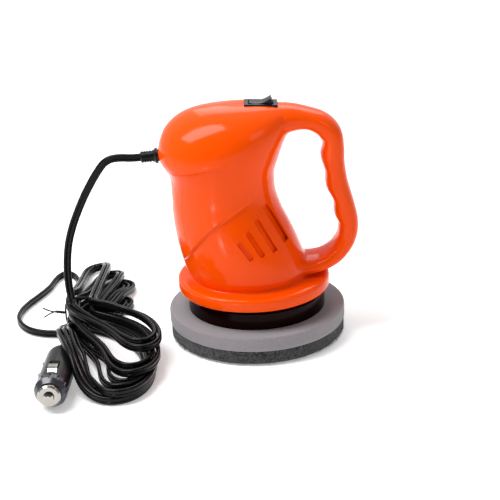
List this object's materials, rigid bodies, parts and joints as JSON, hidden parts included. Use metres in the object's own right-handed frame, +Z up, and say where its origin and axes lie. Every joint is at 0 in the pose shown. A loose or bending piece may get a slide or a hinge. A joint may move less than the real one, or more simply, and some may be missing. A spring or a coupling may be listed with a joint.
{
  "type": "rotary polisher",
  "caption": "Hand-held car polisher: hollow body with a closed D handle, rocker switch, orbiting round foam pad, tied flat lead and accessory plug.",
  "frame": {"origin": "centre of the polishing face, on the ground the pad stands on", "axes": "+Z up out of the pad, +X towards the handle, -Y the front with the vents towards the viewer"},
  "size_m": [0.242, 0.2374, 0.165],
  "materials": {
    "orange": "gloss orange moulded plastic",
    "black_plastic": "satin black",
    "black_gloss": "gloss near-black",
    "cord_black": "satin black pvc",
    "collar_black": "dark blue-black",
    "foam_grey": "grey open foam",
    "sponge_dark": "charcoal flocked sponge",
    "steel": "plain steel",
    "dark_steel": "black oxide steel",
    "zinc": "zinc plated",
    "bright": "bright plated",
    "brass": "plain brass",
    "bronze": "sintered bronze",
    "ferrite": "dark ferrite",
    "copper": "lacquered copper",
    "carbon": "graphite",
    "ivory": "ivory nylon",
    "red_pvc": "red pvc",
    "glass": "clear"
  },
  "bodies": {
    "housing": {"housing_front": "orange", "housing_rear": "orange", "housing_screws": "dark_steel", "switch_body": "black_plastic", "switch_terminals": "brass", "strain_relief": "black_plastic", "cord_clamp": "black_plastic", "clamp_screws": "zinc", "cord_lead": "cord_black", "cord_hank": "cord_black", "cord_tail": "cord_black", "twist_tie": "black_plastic", "supply_wire": "red_pvc", "switch_wire": "red_pvc", "return_wire": "cord_black", "motor_plate": "zinc", "plate_screws": "dark_steel", "motor_screws": "dark_steel", "motor_can": "zinc", "motor_end_cap": "ivory", "motor_magnets": "ferrite", "front_bush": "bronze", "rear_bush": "bronze", "motor_brushes": "carbon", "brush_arms": "brass", "motor_terminals": "brass", "plug_barrel": "black_plastic", "plug_collar": "collar_black", "plug_ring_nut": "bright", "plug_spring": "steel", "plug_boot": "black_plastic"},
    "rotor": {"motor_shaft": "steel", "armature_core": "steel", "armature_windings": "copper", "commutator": "brass", "eccentric_weight": "zinc", "weight_set_screw": "dark_steel", "bearing_inner_ring": "steel", "pad_washer": "zinc", "pad_screw": "zinc"},
    "pad": {"backing_plate": "black_gloss", "foam_pad": "foam_grey", "sponge_face": "sponge_dark", "bearing_outer_ring": "steel"},
    "bearing_cage": {"bearing_cage": "black_plastic", "bearing_balls": "steel"},
    "rocker": {"switch_rocker": "black_plastic"},
    "plug_tip": {"plug_tip": "bright", "plug_fuse": "glass"},
    "contact_upper": {"plug_contact_upper": "bright"},
    "contact_lower": {"plug_contact_lower": "bright"}
  },
  "joints": [
    {"name": "motor_spin", "type": "hinge", "parent": "housing", "child": "rotor", "pos_m": [-0.004, 0, 0.06], "axis": [0, 0, 1], "continuous": true},
    {"name": "pad_spin", "type": "hinge", "parent": "rotor", "child": "pad", "pos_m": [0, 0, 0.028], "axis": [0, 0, 1], "continuous": true},
    {"name": "cage_spin", "type": "hinge", "parent": "rotor", "child": "bearing_cage", "pos_m": [0, 0, 0.028], "axis": [0, 0, 1], "continuous": true},
    {"name": "rocker_tilt", "type": "hinge", "parent": "housing", "child": "rocker", "pos_m": [0.00755, 0, 0.16066], "axis": [0, 1, 0], "range_deg": [0, 24]},
    {"name": "tip_press", "type": "slide", "parent": "housing", "child": "plug_tip", "axis": [0.0523, 0.9986, 0], "range_m": [0, 0.0025], "stiffness_N_per_m": 800, "springref_m": -0.002, "deforming": ["plug_spring"]},
    {"name": "upper_contact_press", "type": "slide", "parent": "housing", "child": "contact_upper", "axis": [0, 0, -1], "range_m": [0, 0.0012], "stiffness_N_per_m": 800, "springref_m": -0.001},
    {"name": "lower_contact_press", "type": "slide", "parent": "housing", "child": "contact_lower", "axis": [0, 0, 1], "range_m": [0, 0.0012], "stiffness_N_per_m": 800, "springref_m": -0.001}
  ],
  "couplings": [
    {"joint": "cage_spin", "follows": "pad_spin", "ratio": 0.6266}
  ]
}
